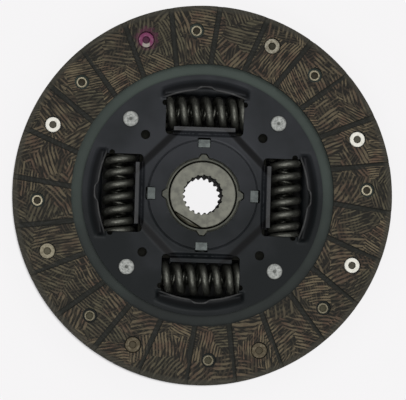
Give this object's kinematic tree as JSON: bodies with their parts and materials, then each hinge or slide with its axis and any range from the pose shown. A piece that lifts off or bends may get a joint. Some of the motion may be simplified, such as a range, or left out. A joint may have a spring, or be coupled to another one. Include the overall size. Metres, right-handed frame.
{
  "type": "clutch disc",
  "caption": "Flat round friction disc for a car clutch, with grooved facings riveted to a sprung damper centre and a splined hub through the middle.",
  "frame": {"origin": "centre of the hub's rear end face, on which the disc lies", "axes": "+Z along the hub's axis, towards the flywheel side, which is the side seen from above"},
  "size_m": [0.2, 0.2, 0.024],
  "materials": {
    "facing": "matte woven friction material with short light yarns",
    "rivet": "dull, tubular",
    "cushion": "satin grey-green",
    "plate": "satin blue-black",
    "pin": "bright",
    "hub": "machined, grey",
    "bush": "matte",
    "thrust_plate": "zinc plated",
    "cone_spring": "satin",
    "friction_ring": "matte",
    "coil_spring": "gloss black"
  },
  "bodies": {
    "hub_body": {"hub": "hub"},
    "plates": {"front_plate": "plate", "rear_plate": "plate", "cushion_disc": "cushion", "stop_pins": "pin", "centring_bush": "bush", "thrust_plate": "thrust_plate", "cone_spring": "cone_spring", "front_friction_ring": "friction_ring", "rear_friction_ring": "friction_ring"},
    "springs": {"outer_spring_1": "coil_spring", "inner_spring_1": "coil_spring", "outer_spring_2": "coil_spring", "inner_spring_2": "coil_spring", "outer_spring_3": "coil_spring", "inner_spring_3": "coil_spring", "outer_spring_4": "coil_spring", "inner_spring_4": "coil_spring"},
    "front_lining": {"front_facing": "facing", "front_facing_rivets": "rivet"},
    "rear_lining": {"rear_facing": "facing", "rear_facing_rivets": "rivet"}
  },
  "joints": [
    {"name": "plates_turn", "type": "hinge", "parent": "hub_body", "child": "plates", "pos_m": [0, 0, 0], "axis": [0, 0, 1], "range_deg": [-8, 8], "stiffness_Nm_per_rad": 700, "deforming": ["outer_spring_1", "inner_spring_1", "outer_spring_2", "inner_spring_2", "outer_spring_3", "inner_spring_3", "outer_spring_4", "inner_spring_4"]},
    {"name": "springs_turn", "type": "hinge", "parent": "hub_body", "child": "springs", "pos_m": [0, 0, 0], "axis": [0, 0, 1], "range_deg": [-4, 4], "deforming": ["outer_spring_1", "inner_spring_1", "outer_spring_2", "inner_spring_2", "outer_spring_3", "inner_spring_3", "outer_spring_4", "inner_spring_4"]},
    {"name": "front_lining_press", "type": "slide", "parent": "plates", "child": "front_lining", "axis": [0, 0, -1], "range_m": [0, 0.0004], "stiffness_N_per_m": 200000, "deforming": ["cushion_disc"]},
    {"name": "rear_lining_press", "type": "slide", "parent": "plates", "child": "rear_lining", "axis": [0, 0, 1], "range_m": [0, 0.0004], "stiffness_N_per_m": 200000, "deforming": ["cushion_disc"]}
  ],
  "couplings": [
    {"joint": "springs_turn", "follows": "plates_turn", "ratio": 0.5},
    {"joint": "rear_lining_press", "follows": "front_lining_press", "ratio": 1}
  ]
}
